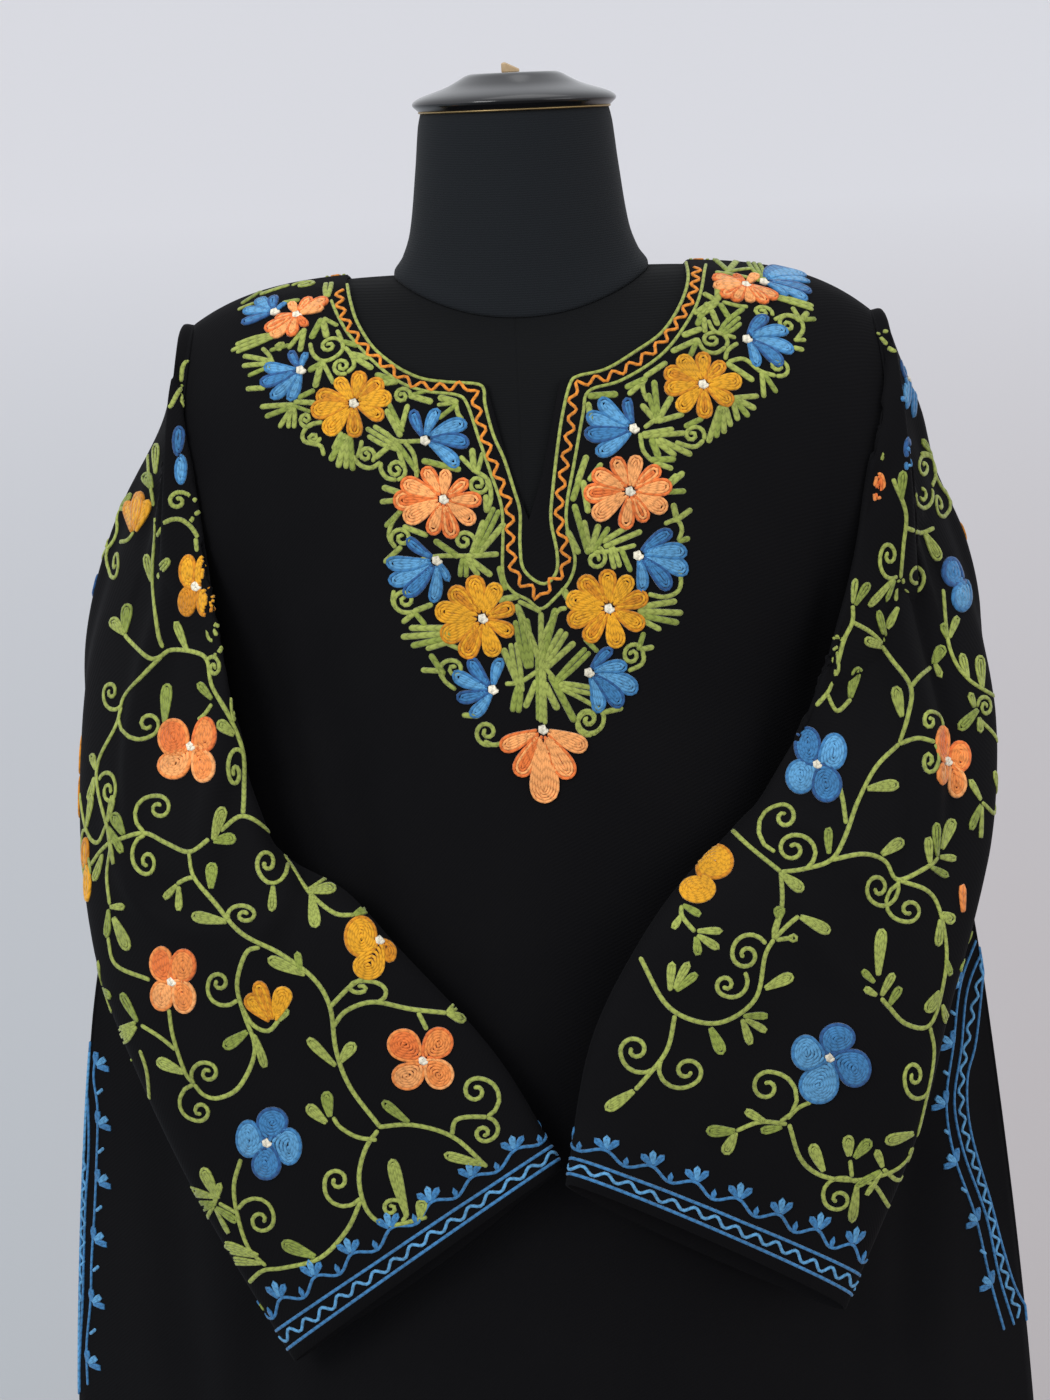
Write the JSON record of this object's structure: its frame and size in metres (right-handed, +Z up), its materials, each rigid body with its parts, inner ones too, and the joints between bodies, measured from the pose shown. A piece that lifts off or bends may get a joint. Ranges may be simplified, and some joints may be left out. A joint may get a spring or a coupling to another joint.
{
  "type": "pheran on a dress form",
  "caption": "Loose long pheran with a round slit neck, wide sleeves crossed in front and embroidered borders, worn by a limbless neck-topped dress form on a pole stand.",
  "frame": {"origin": "on the floor, at the centre of the underside of the stand's round foot", "axes": "+Z up, the garment's front faces -Y, +X to the right as the front is looked at"},
  "size_m": [0.592, 0.37, 1.5063],
  "materials": {
    "black_cloth": "matte twill wool-mix",
    "form_jersey": "stretched matte jersey",
    "gloss_cap": "polished",
    "bare_wood": "sawn, bare",
    "steel_tube": "satin",
    "painted_steel": "satin black"
  },
  "bodies": {
    "root": {"front_panel": "black_cloth", "back_panel": "black_cloth", "sleeve_left": "black_cloth", "sleeve_right": "black_cloth", "form_torso": "form_jersey", "form_neck": "form_jersey", "form_cap": "gloss_cap", "cap_knob": "bare_wood", "stand_pole": "steel_tube", "stand_base": "painted_steel"}
  },
  "joints": []
}
